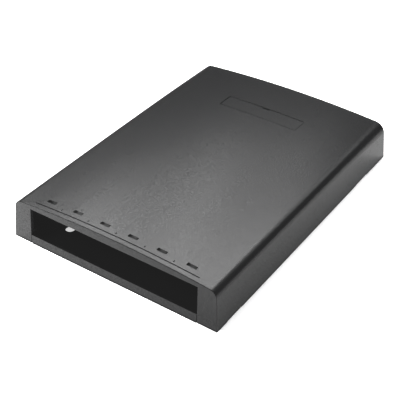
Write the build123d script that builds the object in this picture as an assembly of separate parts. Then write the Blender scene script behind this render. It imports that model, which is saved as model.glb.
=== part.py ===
from build123d import *
from math import asin, cos, degrees, radians, sin, sqrt, tan
import os

# Low desk or wall box for six clip-in outlet modules.
# Millimetres.  X runs across the width, Y from front to rear, Z up from the desk.
# The origin is the middle of the footprint, on the desk.

# ---- driving dimensions -------------------------------------------------
# outside form
housing_width = 142.0
housing_depth = 197.0
desk_gap = 0.25            # rim of the cover above the desk
shoulder_height = 25.75    # where the crowned top would meet the side walls
crown_rise = 3.4
rear_droop = 1.1           # fall of the top towards its rear edge
droop_length = 90.0        # length over which it falls
wall_draft = 4.4           # degrees, all four outer walls
cover_wall = 2.2
shoulder_radius_front = 5.0
shoulder_radius_rear = 7.2
front_edge_radius = 0.35
rear_edge_radius = 1.5

# front opening and its six module places
port_count = 6
port_pitch = 19.25
opening_margin = 0.45      # opening past the module places, each end
opening_top = 24.15
opening_draft = 1.5        # degrees, ends of the opening
sill_height = 6.1
sill_wall = 1.8
sill_end_gap = 0.5
sill_rib_wall = 1.2
sill_rib_reach = 3.6       # along the floor, behind the sill
sill_rib_drop = 0.8        # below the sill's upper edge

# marks and release slots in the top
slot_length = 6.4
slot_width = 2.3
slot_setback = 10.45       # from the lower front edge to the slots' centre line
slot_corner = 0.5
rail_setback = 13.8        # front of the latch rail, from the lower front edge
latch_rail_wall = 1.4
latch_rail_drop = 1.8
label_line_setback = 5.5
label_line_width = 0.7
label_line_length = 112.4
mark_depth = 0.4
tick_setback = 7.6
tick_length = 1.3
tick_width = 0.7

# label plate and its recess
plate_length = 55.6
plate_width = 11.3
plate_thickness = 1.2
plate_gap = 0.4            # at the plate's two ends
plate_gap_front = 0.65
plate_gap_rear = 0.2
plate_step = 0.25          # plate below the top around it
plate_from_rear = 39.75
plate_corner = 0.8
plate_pin_radius = 1.5
plate_pin_length = 3.2
plate_pin_gap = 0.1
plate_pin_spacing = 42.0
pry_notch_width = 5.8
pry_notch_depth = 1.0
recess_edge = 0.4          # bevel along the recess's rear edge
recess_margin = 3.0
recess_relief = 0.4        # saved under the recess's floor
lock_hole_radius = 2.0
lock_head_radius = 3.6
lock_head_depth = 0.8

# clip latches, one pair near the front and one near the rear
latch_from_front = 17.0
latch_from_rear = 33.0
latch_width = 9.0
latch_relief = 2.0
latch_height = 12.5
latch_wall = 1.6
latch_nose = 0.9
latch_nose_height = 2.6
catch_width = 8.0
catch_height = 1.6
catch_gap = 0.25           # catch below the latch's nose
latch_room = 0.6           # free space behind a flexed latch
latch_clearance = 0.12
latch_web_reach = 4.0
latch_web_drop = 2.0       # below the latch's nose
pry_slot_length = 13.5
pry_slot_height = 1.3
pry_tab_inset = 0.4        # tab's end inside the wall's outer face
pry_tab_thickness = 1.0
pry_tab_gap = 0.5

# roof ribs of the cover and breakouts in its rear wall
roof_rib_wall = 1.2
roof_rib_height = 1.4
roof_rib_spacing = 34.0
breakout_width = 18.0
breakout_height = 14.0
breakout_skin = 0.8
breakout_spacing = 60.0
breakout_corner = 2.0
breakout_foot = 2.5        # above the cover's rim

# base tray
floor_thickness = 2.2
base_gap = 0.5
rim_height = 8.0
rim_wall = 1.5
rim_lean = 0.3             # rim inside the edge of the floor
mount_spacing_x = 95.2
mount_from_front = 22.0
mount_spacing_y = 120.0
mount_hole_radius = 3.0
mount_head_radius = 4.6
mount_head_depth = 1.1
entry_length = 40.0
entry_width = 22.0
entry_from_rear = 70.0
entry_corner = 3.0
entry_curb_wall = 1.5
entry_curb_height = 2.0
lock_boss_radius = 3.6
lock_pilot_radius = 1.25
lock_pilot_depth = 12.0
lock_boss_gap = 0.3
gusset_wall = 1.2
gusset_reach = 5.0
gusset_height = 14.0

# bend guides that hold spare fibre or cable
guide_radius = 28.0
guide_wall = 1.6
guide_height = 15.0
guide_spread = 36.0        # between the centres of the two guides
guide_from_front = 92.0
guide_half_angle = 80.0    # degrees each side of the guide's middle
guide_tab_reach = 6.0
guide_tab_width = 7.0
guide_tab_thickness = 1.4
guide_tab_angle = 50.0     # degrees between neighbouring tabs
tab_window_gap = 0.5

# tie anchors
tie_from_front = 44.0
tie_spacing = 62.0
tie_length = 9.0
tie_width = 4.0
tie_height = 5.0
tie_wall = 1.6

# ---- derived places ------------------------------------------------------
half_width = housing_width / 2
front_y = -housing_depth / 2
rear_y = housing_depth / 2
lean = tan(radians(wall_draft))
slope_factor = sqrt(1 + lean * lean)
crown_radius = housing_width ** 2 / (8 * crown_rise) + crown_rise / 2
crown_top = shoulder_height + crown_rise
port_field = port_count * port_pitch
plate_y = rear_y - plate_from_rear
latch_places = [front_y + latch_from_front, rear_y - latch_from_rear]
mount_places = [
    (sx * mount_spacing_x / 2, front_y + mount_from_front + row * mount_spacing_y)
    for row in (0, 1) for sx in (-1, 1)
]
low = -5.0                 # working depth of tools that pass below the desk
beyond = 12.0              # how far tools run past the form
bite = 0.5                 # how far a feature runs into the wall that carries it
least_radius = 0.6         # of a shoulder seen from inside


def port_x(place):
    """Middle of a module place; halves give the lines between places."""
    return (place - (port_count - 1) / 2) * port_pitch


def droop(y):
    """Fall of the top at a depth, nothing in front of the droop's start."""
    run = max(0.0, y - (rear_y - droop_length))
    return rear_droop * (run / droop_length) ** 2


def shoulder_radius(y):
    share = (y - front_y) / housing_depth
    return shoulder_radius_front + (shoulder_radius_rear - shoulder_radius_front) * share ** 2


def side_x(z, inset=0.0):
    """Half width of the form at a height, walls leaning in as they rise."""
    return half_width - (z - desk_gap) * lean - inset * slope_factor


def end_y(z, inset=0.0):
    """Half depth of the form at a height."""
    return rear_y - (z - desk_gap) * lean - inset * slope_factor


def top_z(x, y, inset=0.0):
    """Height of the crowned top, or of a surface a constant depth under it."""
    centre_z = crown_top - crown_radius - droop(y)
    return centre_z + sqrt((crown_radius - inset) ** 2 - x * x)


def cross_section(y, inset):
    """Upright section of the form: leaning sides, rounded shoulders, crown."""
    def edge_height(z_try):
        for _ in range(8):
            z_try = top_z(side_x(z_try, inset), y, inset)
        return z_try
    edge_z = edge_height(shoulder_height)
    edge_x = side_x(edge_z, inset)
    foot_x = side_x(low, inset)
    crest = (0, top_z(0, y, inset))
    lines = [
        Polyline((-edge_x, edge_z), (-foot_x, low), (foot_x, low), (edge_x, edge_z)),
        ThreePointArc((edge_x, edge_z), crest, (-edge_x, edge_z)),
    ]
    face = make_face(Curve() + lines)
    corners = face.vertices().sort_by(Axis.Y)[-2:]
    radius = max(shoulder_radius(y) - inset, least_radius)
    return Plane((0, y, 0), x_dir=(1, 0, 0), z_dir=(0, -1, 0)) * fillet(corners, radius)


def form(inset=0.0):
    """Whole outer form, or the same form set in from it on every side but below."""
    stations = [front_y - beyond]
    count = 5
    for step in range(count):
        stations.append(front_y + beyond + (housing_depth - 2 * beyond) * step / (count - 1))
    stations.append(rear_y + beyond)
    body = loft([cross_section(y, inset) for y in stations])
    high = crown_top + beyond
    ends = Polyline(
        (-end_y(low, inset), low), (end_y(low, inset), low),
        (end_y(high, inset), high), (-end_y(high, inset), high), close=True,
    )
    slab = extrude(Plane.YZ * make_face(ends), housing_width, both=True)
    return body & slab


outer_form = form()
inner_form = form(cover_wall)
high = crown_top + beyond


def block(x0, x1, y0, y1, z0, z1):
    """Box between two corners."""
    return Pos((x0 + x1) / 2, (y0 + y1) / 2, (z0 + z1) / 2) * Box(x1 - x0, y1 - y0, z1 - z0)


def rounded_prism(x, y, length, width, corner, z0, z1):
    """Upright prism with a round-cornered outline."""
    outline = Pos(x, y, z0) * RectangleRounded(length, width, corner)
    return extrude(outline, z1 - z0)


def peg(x, y, radius, z0, z1):
    return Pos(x, y, z0) * Cylinder(radius, z1 - z0, align=(Align.CENTER, Align.CENTER, Align.MIN))


# ---- cover ---------------------------------------------------------------
def opening_tool():
    """Front opening: from under the header down through the rim, wider below."""
    grow = tan(radians(opening_draft))
    half = port_field / 2 + opening_margin
    top_half = half - (opening_top - desk_gap) * grow
    low_half = half + (desk_gap - low) * grow
    outline = Polyline(
        (-low_half, low), (low_half, low), (top_half, opening_top), (-top_half, opening_top), close=True,
    )
    face = Plane((0, front_y - beyond, 0), x_dir=(1, 0, 0), z_dir=(0, -1, 0)) * make_face(outline)
    reach = beyond + (opening_top - desk_gap) * lean + cover_wall + bite
    return extrude(face, -reach)


def skin(depth):
    """Layer of the form just under its surface."""
    return outer_form - form(depth)


def release_slots():
    """One slot a module, through which its latch is pressed back."""
    y = front_y + slot_setback
    return [rounded_prism(port_x(place), y, slot_length, slot_width, slot_corner, opening_top - beyond, high)
            for place in range(port_count)]


def top_marks():
    """Label line across the front and the ticks between module places."""
    layer = skin(mark_depth)
    half = label_line_length / 2
    y = front_y + label_line_setback
    tools = [block(-half, half, y - label_line_width / 2, y + label_line_width / 2, opening_top, high)]
    y = front_y + tick_setback
    for place in range(port_count - 1):
        x = port_x(place + 0.5)
        tools.append(block(x - tick_width / 2, x + tick_width / 2,
                           y - tick_length / 2, y + tick_length / 2, opening_top, high))
    return [layer & tool for tool in tools]


recess_length = plate_length + 2 * plate_gap
recess_width = plate_width + plate_gap_front + plate_gap_rear
recess_y = plate_y + (plate_gap_rear - plate_gap_front) / 2
recess_corner = plate_corner + plate_gap
recess_depth = plate_thickness + plate_step
recess_floor = top_z(0, plate_y) - recess_depth


def plate_recess():
    """Pocket for the label plate, following the crown."""
    outline = rounded_prism(0, recess_y, recess_length, recess_width, recess_corner, opening_top - beyond, high)
    return skin(recess_depth) & outline


def recess_bevel():
    """Bevel along the pocket's rear edge, turned about the crown's own axis."""
    y = recess_y + recess_width / 2
    z = top_z(0, y)
    wedge = make_face(Polyline(
        (y - bite, z - recess_edge), (y, z - recess_edge), (y + recess_edge + bite, z + bite),
        (y - bite, z + bite), close=True,
    ))
    crown_axis = Axis((0, 0, z - crown_radius), (0, 1, 0))
    half_angle = degrees(asin((recess_length / 2 - recess_corner) / crown_radius))
    sweep = revolve(Plane.YZ * wedge, crown_axis, revolution_arc=2 * half_angle)
    return sweep.rotate(crown_axis, -half_angle)


def recess_pad():
    """Extra thickness under the pocket, so that its floor is a full wall."""
    outline = rounded_prism(0, recess_y, recess_length + 2 * recess_margin, recess_width + 2 * recess_margin,
                            recess_corner + recess_margin, opening_top - beyond, high)
    return outline & (outer_form - form(cover_wall + recess_depth - recess_relief))


pad_underside = top_z(0, plate_y) - cover_wall - recess_depth + recess_relief


def plate_holes():
    tools = [peg(0, plate_y, lock_hole_radius, opening_top - beyond, high)]
    tools.append(peg(0, plate_y, lock_head_radius, recess_floor - lock_head_depth, recess_floor + bite))
    for sx in (-1, 1):
        x = sx * plate_pin_spacing / 2
        tools.append(peg(x, plate_y, plate_pin_radius + plate_pin_gap, opening_top - beyond, high))
    return tools


latch_face = side_x(latch_height) - cover_wall * slope_factor - latch_nose - catch_gap - latch_room
nose_tip = latch_face + latch_nose
nose_low = latch_height - latch_nose_height


def catches():
    """Ledges inside the side walls, just under the latches' noses."""
    solids = []
    for y in latch_places:
        for sx in (-1, 1):
            tip = nose_tip + latch_clearance
            top = nose_low - catch_gap
            reach = side_x(top - catch_height) - tip
            profile = Polyline((0, top), (0, top - catch_height / 2), (reach, top - catch_height - reach / 2),
                               (reach, top), close=True)
            ledge = extrude(Plane.XZ * make_face(profile), catch_width / 2, both=True)
            solids.append(Pos(0, y, 0) * mirror_side(Pos(tip, 0, 0) * ledge, sx))
    return solids


def mirror_side(solid, sx):
    return solid if sx > 0 else mirror(solid, Plane.YZ)


def latch_rail():
    """Rail under the roof behind the slots, which the modules' latches bear on."""
    half = port_field / 2 - sill_rib_wall
    y = front_y + rail_setback
    rail = block(-half, half, y, y + latch_rail_wall, opening_top - latch_rail_drop, high)
    return rail & (outer_form - form(cover_wall + latch_rail_drop))


def roof_ribs():
    """Ribs along the roof that keep the wide panel flat in the mould."""
    y0 = front_y + rail_setback
    y1 = recess_y - recess_width / 2 - recess_margin
    layer = outer_form - form(cover_wall + roof_rib_height)
    solids = []
    for place in (-1.5, -0.5, 0.5, 1.5):
        x = place * roof_rib_spacing
        solids.append(layer & block(x - roof_rib_wall / 2, x + roof_rib_wall / 2, y0, y1 + bite, 0, high))
    return solids


def breakouts():
    """Thin panels in the rear wall that are broken out for a cable."""
    tools = []
    z = desk_gap + breakout_height / 2 + breakout_foot
    for sx in (-1, 1):
        outline = Pos(sx * breakout_spacing / 2, z) * RectangleRounded(
            breakout_width, breakout_height, breakout_corner)
        face = Plane((0, 0, 0), x_dir=(1, 0, 0), z_dir=(0, -1, 0)) * outline
        deep = extrude(face, -(rear_y + beyond))
        tools.append(deep & (form(breakout_skin) - form(cover_wall + bite)))
    return tools


def pry_slots():
    """Notches in the lower edge of both side walls, one at each latch."""
    tools = []
    for y in latch_places:
        for sx in (-1, 1):
            notch = block(half_width - cover_wall - bite, half_width + bite, y - pry_slot_length / 2,
                          y + pry_slot_length / 2, low, desk_gap + pry_slot_height)
            tools.append(mirror_side(notch, sx))
    return tools


def make_cover():
    shell_form = outer_form - block(-housing_width, housing_width, -housing_depth, housing_depth,
                                    low - bite, desk_gap)
    front_rim = edges_at(shell_form, front_y)
    shell_form = fillet(front_rim, front_edge_radius)
    rear_rim = edges_at(shell_form, rear_y)
    shell_form = fillet(rear_rim, rear_edge_radius)
    cover = shell_form - inner_form
    cover -= opening_tool()
    for solid in [recess_pad(), latch_rail()] + roof_ribs():
        cover += solid & outer_form
    for ledge in catches():
        cover += ledge & (outer_form - form(cover_wall / 2) + inner_form)
    for tool in release_slots() + top_marks() + [plate_recess(), recess_bevel()]:
        cover -= tool
    for tool in plate_holes() + breakouts() + pry_slots():
        cover -= tool
    return cover


def edges_at(solid, y):
    """Edges of one drafted end face, without the one along the desk."""
    end = solid.faces().sort_by(Axis.Y)[0 if y < 0 else -1]
    return [edge for edge in end.edges() if edge.center().Z > desk_gap + bite]


# ---- label plate -----------------------------------------------------------
def make_plate():
    """Label plate with two pins, and a notch in its rear edge to pry it out by."""
    outline = rounded_prism(0, plate_y, plate_length, plate_width, plate_corner, opening_top - beyond, high)
    rear = plate_y + plate_width / 2
    outline -= block(-pry_notch_width / 2, pry_notch_width / 2, rear - pry_notch_depth, rear + bite,
                     opening_top - beyond, high)
    plate = outline & (form(plate_step) - form(recess_depth))
    for sx in (-1, 1):
        x = sx * plate_pin_spacing / 2
        z = top_z(x, plate_y) - recess_depth
        plate += peg(x, plate_y, plate_pin_radius, z - plate_pin_length, z + plate_thickness / 2)
    return plate


# ---- base tray -------------------------------------------------------------
def make_base():
    floor_top = floor_thickness
    rim_outer = base_gap + cover_wall + rim_lean
    tray_form = form(cover_wall + base_gap)
    floor = tray_form & block(-housing_width, housing_width, -housing_depth, housing_depth, 0, floor_top)
    tongue_half = port_field / 2 + opening_margin - sill_end_gap
    sill_slab = outer_form & block(-tongue_half, tongue_half, front_y - beyond, front_y + beyond,
                                   0, sill_height)
    back_cut = form(sill_wall) & block(-housing_width, housing_width, -housing_depth, housing_depth,
                                       floor_top, high)
    base = floor + (sill_slab - back_cut)

    rim = (form(rim_outer) - form(rim_outer + rim_wall)) & block(
        -housing_width, housing_width, -housing_depth, housing_depth, floor_top / 2, rim_height)
    rim -= block(-tongue_half, tongue_half, front_y - beyond, front_y + beyond, 0, high)
    for y in latch_places:
        reach = latch_width / 2 + latch_relief
        rim -= block(-housing_width, housing_width, y - reach, y + reach, floor_top, high)
    base += rim

    for part in latches() + pry_tabs() + sill_ribs() + [entry_curb(), lock_boss()]:
        base += part
    for part in guides() + tie_anchors():
        base += part
    base -= rounded_prism(0, rear_y - entry_from_rear, entry_length, entry_width, entry_corner, low, high)
    for x, y in mount_places:
        base -= peg(x, y, mount_hole_radius, low, floor_top + bite)
        base -= peg(x, y, mount_head_radius, floor_top - mount_head_depth, floor_top + bite)
    for window in tab_windows():
        base -= window
    base -= peg(0, plate_y, lock_pilot_radius, pad_underside - lock_boss_gap - lock_pilot_depth, high)
    return base


def latches():
    """Upright spring fingers with a nose that hooks over the cover's catch."""
    solids = []
    inner = latch_face - latch_wall
    profile = Polyline(
        (inner, floor_thickness / 2), (latch_face, floor_thickness / 2), (latch_face, nose_low),
        (nose_tip, nose_low), (nose_tip, nose_low + latch_nose_height / 3),
        (latch_face, latch_height), (inner, latch_height), close=True,
    )
    finger = extrude(Plane.XZ * make_face(profile), latch_width / 2, both=True)
    web_low = Polyline((inner - latch_web_reach, floor_thickness / 2), (inner + bite, floor_thickness / 2),
                       (inner + bite, nose_low - latch_web_drop), close=True)
    web = extrude(Plane.XZ * make_face(web_low), sill_rib_wall / 2, both=True)
    for y in latch_places:
        for sx in (-1, 1):
            solids.append(Pos(0, y, 0) * mirror_side(finger + web, sx))
    return solids


def pry_tabs():
    """Tongues of the floor in the cover's pry slots, which a screwdriver bears on."""
    solids = []
    half = pry_slot_length / 2 - pry_tab_gap
    layer = form(pry_tab_inset)
    for y in latch_places:
        for sx in (-1, 1):
            tab = block(half_width - cover_wall - beyond, half_width, y - half, y + half, 0, pry_tab_thickness)
            solids.append(mirror_side(layer & tab, sx))
    return solids


def sill_ribs():
    """Buttresses behind the sill, in line with the ends of the module places."""
    solids = []
    back = front_y + sill_wall * slope_factor
    end = port_field / 2 - sill_rib_wall
    profile = Polyline(
        (back - bite, floor_thickness - bite), (back + sill_rib_reach, floor_thickness - bite),
        (back + sill_rib_reach, floor_thickness), (back + bite, sill_height - sill_rib_drop),
        (back - bite, sill_height - sill_rib_drop), close=True,
    )
    rib = extrude(Plane.YZ * make_face(profile), sill_rib_wall / 2, both=True)
    for place in range(port_count + 1):
        x = port_x(place - 0.5)
        solids.append(Pos(max(min(x, end), -end), 0, 0) * rib)
    return solids


def entry_curb():
    """Raised curb round the cable entry in the floor."""
    y = rear_y - entry_from_rear
    grow = 2 * entry_curb_wall
    return rounded_prism(0, y, entry_length + grow, entry_width + grow, entry_corner + entry_curb_wall,
                         floor_thickness / 2, floor_thickness + entry_curb_height)


def lock_boss():
    """Post for an optional cover screw, with four gussets."""
    top = pad_underside - lock_boss_gap
    boss = peg(0, plate_y, lock_boss_radius, floor_thickness / 2, top)
    start = lock_boss_radius - bite
    profile = Polyline(
        (start, floor_thickness / 2), (lock_boss_radius + gusset_reach, floor_thickness / 2),
        (lock_boss_radius + bite, gusset_height), (start, gusset_height), close=True,
    )
    gusset = extrude(Plane.XZ * make_face(profile), gusset_wall / 2, both=True)
    for quarter in range(4):
        boss += Pos(0, plate_y, 0) * Rot(0, 0, 90 * quarter) * gusset
    return boss


def guide_frame(sx):
    """Place of one bend guide, turned so that its middle faces the side wall."""
    place = Pos(sx * guide_spread / 2, front_y + guide_from_front, 0)
    return place * Rot(0, 0, 0 if sx > 0 else 180)


def guides():
    """Two curved walls that fibre is wound round, with tabs that keep it down."""
    solids = []
    ring = Cylinder(guide_radius, guide_height - floor_thickness / 2,
                    align=(Align.CENTER, Align.CENTER, Align.MIN))
    ring -= Cylinder(guide_radius - guide_wall, guide_height, align=(Align.CENTER, Align.CENTER, Align.MIN))
    span = guide_radius * 2
    reach = radians(guide_half_angle)
    fan = make_face(Polyline((0, 0), (span * cos(reach), -span * sin(reach)), (span, -span * sin(reach)),
                             (span, span * sin(reach)), (span * cos(reach), span * sin(reach)), close=True))
    wall = Pos(0, 0, floor_thickness / 2) * (ring & extrude(fan, guide_height))
    tab = block(guide_radius - guide_wall / 2, guide_radius + guide_tab_reach, -guide_tab_width / 2,
                guide_tab_width / 2, guide_height - guide_tab_thickness, guide_height)
    for turn in (-1, 0, 1):
        wall += Rot(0, 0, turn * guide_tab_angle) * tab
    for sx in (-1, 1):
        solids.append(guide_frame(sx) * wall)
    return solids


def tab_windows():
    """Windows in the floor under the tabs, where the mould's cores come through."""
    tools = []
    hole = block(guide_radius + tab_window_gap / 2, guide_radius + guide_tab_reach + tab_window_gap,
                 -guide_tab_width / 2 - tab_window_gap, guide_tab_width / 2 + tab_window_gap,
                 low, floor_thickness + bite)
    for sx in (-1, 1):
        for turn in (-1, 0, 1):
            tools.append(guide_frame(sx) * Rot(0, 0, turn * guide_tab_angle) * hole)
    return tools


def tie_anchors():
    """Small bridges that a cable tie threads through."""
    solids = []
    y = front_y + tie_from_front
    for sx in (-1, 1):
        x = sx * tie_spacing / 2
        bridge = block(x - tie_length / 2, x + tie_length / 2, y - tie_width / 2, y + tie_width / 2,
                       floor_thickness / 2, floor_thickness + tie_height)
        gap = block(x - tie_length / 2 + tie_wall, x + tie_length / 2 - tie_wall, y - tie_width,
                    y + tie_width, floor_thickness, floor_thickness + tie_height - tie_wall)
        solids.append(bridge - gap)
    return solids


# ---- write the nodes -------------------------------------------------------
os.makedirs("parts", exist_ok=True)
for name, make in (("base", make_base), ("cover", make_cover), ("label_plate", make_plate)):
    export_step(make(), f"parts/{name}.step")
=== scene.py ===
import math

import bpy
from mathutils import Matrix, Vector


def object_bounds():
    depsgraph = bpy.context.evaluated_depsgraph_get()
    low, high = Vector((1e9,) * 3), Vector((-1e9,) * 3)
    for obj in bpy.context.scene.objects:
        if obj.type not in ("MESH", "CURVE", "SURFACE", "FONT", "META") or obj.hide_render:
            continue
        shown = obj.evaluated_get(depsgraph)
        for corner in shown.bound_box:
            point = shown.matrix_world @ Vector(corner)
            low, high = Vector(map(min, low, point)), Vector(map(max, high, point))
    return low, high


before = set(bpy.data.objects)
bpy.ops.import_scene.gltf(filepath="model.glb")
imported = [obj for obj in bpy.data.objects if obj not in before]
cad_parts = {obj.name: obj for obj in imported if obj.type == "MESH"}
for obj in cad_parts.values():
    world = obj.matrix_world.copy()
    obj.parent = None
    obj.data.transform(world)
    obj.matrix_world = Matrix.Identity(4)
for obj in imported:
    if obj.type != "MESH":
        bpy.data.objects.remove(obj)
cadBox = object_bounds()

scene = bpy.context.scene
bpy.ops.object.select_all(action="DESELECT")

mm = 0.001
white = (1.0, 1.0, 1.0, 1.0)
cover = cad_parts["cover"]
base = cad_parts["base"]
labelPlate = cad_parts["label_plate"]
portFace = cadBox[0][1]          # where the front of the box stands


def newTree(name):
    material = bpy.data.materials.new(name)
    material.use_nodes = True
    material.node_tree.nodes.clear()
    return material, material.node_tree


def addNode(tree, kind, x, y, **settings):
    node = tree.nodes.new(kind)
    node.location = (x, y)
    for name, value in settings.items():
        setattr(node, name, value)
    return node


def setSockets(node, **values):
    for name, value in values.items():
        node.inputs[name.replace("_", " ")].default_value = value


# these three take sockets and give the result's socket back
def addRange(tree, x, y, source, start=0.0, end=1.0, low=0.0, high=1.0, blend="LINEAR"):
    node = addNode(tree, "ShaderNodeMapRange", x, y, interpolation_type=blend)
    setSockets(node, From_Min=start, From_Max=end, To_Min=low, To_Max=high)
    tree.links.new(source, node.inputs["Value"])
    return node.outputs["Result"]


def addMix(tree, x, y, factor, colour, otherColour):
    node = addNode(tree, "ShaderNodeMix", x, y, data_type="RGBA")
    setSockets(node, A=colour, B=otherColour)
    tree.links.new(factor, node.inputs["Factor"])
    return node.outputs["Result"]


def addMath(tree, x, y, operation, first, second):
    node = addNode(tree, "ShaderNodeMath", x, y, operation=operation)
    tree.links.new(first, node.inputs[0])
    tree.links.new(second, node.inputs[1])
    return node.outputs["Value"]


mouldedPlastic = {
    "colour": (0.0052, 0.0053, 0.0055, 1.0),
    "colourWorn": (0.0064, 0.0066, 0.0069, 1.0),
    "cloudSize": 7.0 * mm,       # slow change of tint across a panel
    "cloudDetail": 3.0,
    "grainSize": 0.6 * mm,       # spark texture of the mould
    "grainDetail": 2.0,
    "grainDepth": 0.0025 * mm,
    "grainLow": 0.25,            # the shine runs from least to most between these two
    "grainHigh": 0.75,
    "noiseRoughness": 0.6,
    "roughness": 0.25,
    "ior": 1.49,
    "specular": 0.08,
    "specularSpread": 0.05,      # the texture's pores shine less than its ridges
    "paintedShadeReach": 2.5 * mm,     # painted shade: slots, grooves, gaps and faces close to the table lose their shine by occlusion within this reach
    "paintedShadeDarkest": 0.6,           # as closed in as this, the painted shade leaves a face no shine
    "paintedShadeClear": 0.95,          # as open as this, it has all of it
    "paintedShadeSamples": 8,
    "edgeRadius": 0.08 * mm,
    "edgeSamples": 4,
}


def makeMouldedPlastic(name, look):
    material, tree = newTree(name)
    output = addNode(tree, "ShaderNodeOutputMaterial", 700, 0)
    shader = addNode(tree, "ShaderNodeBsdfPrincipled", 400, 0)
    setSockets(shader, Roughness=look["roughness"], IOR=look["ior"])
    place = addNode(tree, "ShaderNodeTexCoord", -900, 0)

    def addNoise(y, size, detail):
        noise = addNode(tree, "ShaderNodeTexNoise", -650, y)
        setSockets(noise, Scale=1 / size, Detail=detail, Roughness=look["noiseRoughness"])
        tree.links.new(place.outputs["Object"], noise.inputs["Vector"])
        return noise.outputs["Fac"]

    cloud = addNoise(200, look["cloudSize"], look["cloudDetail"])
    grain = addNoise(-200, look["grainSize"], look["grainDetail"])
    tint = addMix(tree, 0, 250, cloud, look["colour"], look["colourWorn"])

    leastShine = look["specular"] - look["specularSpread"]
    mostShine = look["specular"] + look["specularSpread"]
    shine = addRange(tree, 0, 0, grain, look["grainLow"], look["grainHigh"],
                     leastShine, mostShine)
    # painted shade: occlusion dims the shine in hollows and close to the table
    paintedShadeOcclusion = addNode(tree, "ShaderNodeAmbientOcclusion", -650, -550,
                     samples=look["paintedShadeSamples"])
    setSockets(paintedShadeOcclusion, Distance=look["paintedShadeReach"])
    unshadedShare = addRange(tree, -400, -650, paintedShadeOcclusion.outputs["AO"],
                        look["paintedShadeDarkest"], look["paintedShadeClear"])
    shineWithPaintedShade = addMath(tree, 200, -50, "MULTIPLY", shine, unshadedShare)

    soften = addNode(tree, "ShaderNodeBevel", -250, -450, samples=look["edgeSamples"])
    setSockets(soften, Radius=look["edgeRadius"])
    bump = addNode(tree, "ShaderNodeBump", 0, -350)
    setSockets(bump, Strength=1.0, Distance=look["grainDepth"])
    tree.links.new(grain, bump.inputs["Height"])
    tree.links.new(soften.outputs["Normal"], bump.inputs["Normal"])

    shineSocket = shader.inputs["Specular IOR Level"]
    shineSocket.default_value = look["specular"]     # stays where the link is lost
    tree.links.new(tint, shader.inputs["Base Color"])
    tree.links.new(shineWithPaintedShade, shineSocket)
    tree.links.new(bump.outputs["Normal"], shader.inputs["Normal"])
    tree.links.new(shader.outputs["BSDF"], output.inputs["Surface"])
    return material


def dressNode(node, material):
    node.data.materials.clear()
    node.data.materials.append(material)


dressNode(cover, makeMouldedPlastic("coverPlastic", mouldedPlastic))
dressNode(base, makeMouldedPlastic("basePlastic", mouldedPlastic))
dressNode(labelPlate, makeMouldedPlastic("platePlastic", mouldedPlastic))
print("plastics done")


lightTable = {
    "size": 6.0,
    "colour": (0.82, 0.82, 0.82, 1.0),
    "glow": 0.63,                # light coming up through the table
    "colourFarPaintedDim": (0.42, 0.42, 0.42, 1.0),
    "glowFar": 0.20,
    "nearReach": 0.30,           # the table's glow and its painted pool of light are brightest out to here
    "farReach": 0.75,
    "portGlowLeft": 5.2,         # more of the light in front of the ports, left to right
    "portGlowRight": 1.8,
    "portHalfSpan": 110 * mm,
    "portStart": 3.5 * mm,       # it starts this far behind the ports
    "portBlend": 4.0 * mm,
    "portReach": 0.18,           # and fades out between these two
    "portEnd": 0.34,
}


def makeTable(look):
    bpy.ops.mesh.primitive_plane_add(size=look["size"], location=(0, 0, 0))
    table = bpy.context.active_object
    table.name = "table"
    material, tree = newTree("paleTable")
    output = addNode(tree, "ShaderNodeOutputMaterial", 300, 0)
    shader = addNode(tree, "ShaderNodeBsdfPrincipled", 0, 0)
    setSockets(shader, Roughness=1.0, Specular_IOR_Level=0.0, Emission_Color=white)
    place = addNode(tree, "ShaderNodeTexCoord", -900, 0)
    length = addNode(tree, "ShaderNodeVectorMath", -700, 0, operation="LENGTH")
    split = addNode(tree, "ShaderNodeSeparateXYZ", -700, -300)
    tree.links.new(place.outputs["Object"], length.inputs[0])
    tree.links.new(place.outputs["Object"], split.inputs[0])
    reach = length.outputs["Value"]

    fade = addRange(tree, -500, 0, reach, look["nearReach"], look["farReach"],
                    blend="SMOOTHSTEP")
    # painted pool of light: the table's colour darkens away from the object
    paintedLightPool = addMix(tree, -250, 150, fade, look["colour"], look["colourFarPaintedDim"])
    glow = addRange(tree, -250, -150, fade, low=look["glow"], high=look["glowFar"])

    portStart = portFace + look["portStart"]
    across = addRange(tree, -500, -300, split.outputs["X"],
                      -look["portHalfSpan"], look["portHalfSpan"],
                      look["portGlowLeft"], look["portGlowRight"])
    ahead = addRange(tree, -500, -550, split.outputs["Y"],
                     portStart, portStart - look["portBlend"])
    beyond = addRange(tree, -500, -800, reach, look["portReach"], look["portEnd"],
                      low=1.0, high=0.0, blend="SMOOTHSTEP")
    portGlow = addMath(tree, -300, -400, "MULTIPLY", across, ahead)
    portGlowFaded = addMath(tree, -150, -500, "MULTIPLY", portGlow, beyond)
    total = addMath(tree, -50, -250, "ADD", glow, portGlowFaded)

    tree.links.new(paintedLightPool, shader.inputs["Base Color"])
    tree.links.new(total, shader.inputs["Emission Strength"])
    tree.links.new(shader.outputs["BSDF"], output.inputs["Surface"])
    table.data.materials.append(material)


makeTable(lightTable)
print("table done")


# azimuth 0 looks from the front, 90 from the right
def direction(azimuth, elevation):
    a, e = math.radians(azimuth), math.radians(elevation)
    return Vector((math.sin(a) * math.cos(e), -math.cos(a) * math.cos(e), math.sin(e)))


softboxPanel = {
    "distance": 1.4,
    "width": 0.34,
    "height": 0.34,
    "aim": (0, 0, 20 * mm),
}

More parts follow.
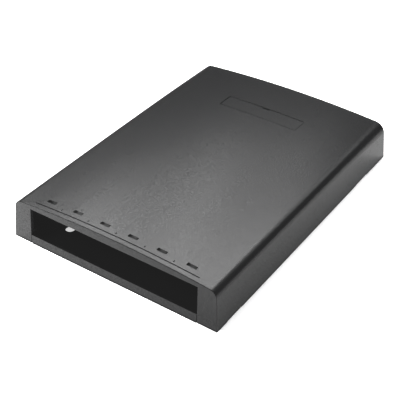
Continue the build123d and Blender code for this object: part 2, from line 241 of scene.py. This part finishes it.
# a curved bank of panels behind the object; the table itself lights the front
softboxes = {
    "bankRight1": dict(azimuth=160, elevation=42, power=2.8),
    "bankRight2": dict(azimuth=175, elevation=42, power=1.5),
    "bankRight3": dict(azimuth=175, elevation=54, power=3.4),
    "bankMiddle1": dict(azimuth=190, elevation=54, power=9.3),
    "bankMiddle2": dict(azimuth=205, elevation=42, power=2.7),
    "bankMiddle3": dict(azimuth=205, elevation=54, power=6.9),
    "bankMiddle4": dict(azimuth=220, elevation=42, power=4.2),
    "bankMiddle5": dict(azimuth=220, elevation=54, power=6.8),
    "bankLeft1": dict(azimuth=235, elevation=42, power=6.5),
    "bankLeft2": dict(azimuth=235, elevation=54, power=6.8),
    "frontFill": dict(azimuth=-37, elevation=45, width=0.5, height=0.5, power=5.0),
    "bankLeft3": dict(azimuth=250, elevation=42, power=22.0),
}


def addSoftbox(name, azimuth, elevation, power, distance, width, height, aim):
    light = bpy.data.lights.new(name, "AREA")
    light.shape = "RECTANGLE"
    light.size = width
    light.size_y = height
    light.energy = power
    lamp = bpy.data.objects.new(name, light)
    lamp.location = Vector(aim) + direction(azimuth, elevation) * distance
    lamp.visible_camera = False
    lamp.rotation_euler = (Vector(aim) - lamp.location).to_track_quat("-Z", "Y").to_euler()
    scene.collection.objects.link(lamp)


for name, box in softboxes.items():
    addSoftbox(name, **{**softboxPanel, **box})
print("lights done")


camera = {
    "azimuth": 34.5275,
    "elevation": 37.2491,
    "distance": 574.86 * mm,
    "aim": (8.060 * mm, -22.673 * mm, 12.5 * mm),
    "lens": 87.335,
    "sensorWidth": 36.0,
    "clipStart": 10 * mm,
}


def makeCamera(view):
    lensData = bpy.data.cameras.new("camera")
    lensData.lens = view["lens"]
    lensData.sensor_width = view["sensorWidth"]
    lensData.clip_start = view["clipStart"]
    eye = bpy.data.objects.new("camera", lensData)
    back = direction(view["azimuth"], view["elevation"])
    right = Vector((0, 0, 1)).cross(back).normalized()
    up = back.cross(right)
    turn = Matrix((right, up, back)).transposed().to_4x4()
    eye.matrix_world = Matrix.Translation(Vector(view["aim"]) + back * view["distance"]) @ turn
    scene.collection.objects.link(eye)
    scene.camera = eye


makeCamera(camera)
print("camera done")


studioRoom = {
    "colour": white,
    "strength": 0.28,            # only seen, past the table's edge; it lights nothing
    "blackLevel": -0.0135,       # lifts the blacks a little
}


def makeRoom(look):
    world = bpy.data.worlds.new("studio")
    scene.world = world
    world.use_nodes = True
    setSockets(world.node_tree.nodes["Background"], Color=look["colour"],
               Strength=look["strength"])
    world.cycles_visibility.diffuse = False
    world.cycles_visibility.glossy = False
    scene.view_settings.view_transform = "Standard"
    scene.view_settings.use_curve_mapping = True
    scene.view_settings.curve_mapping.black_level = [look["blackLevel"]] * 3


makeRoom(studioRoom)
print("studio done")
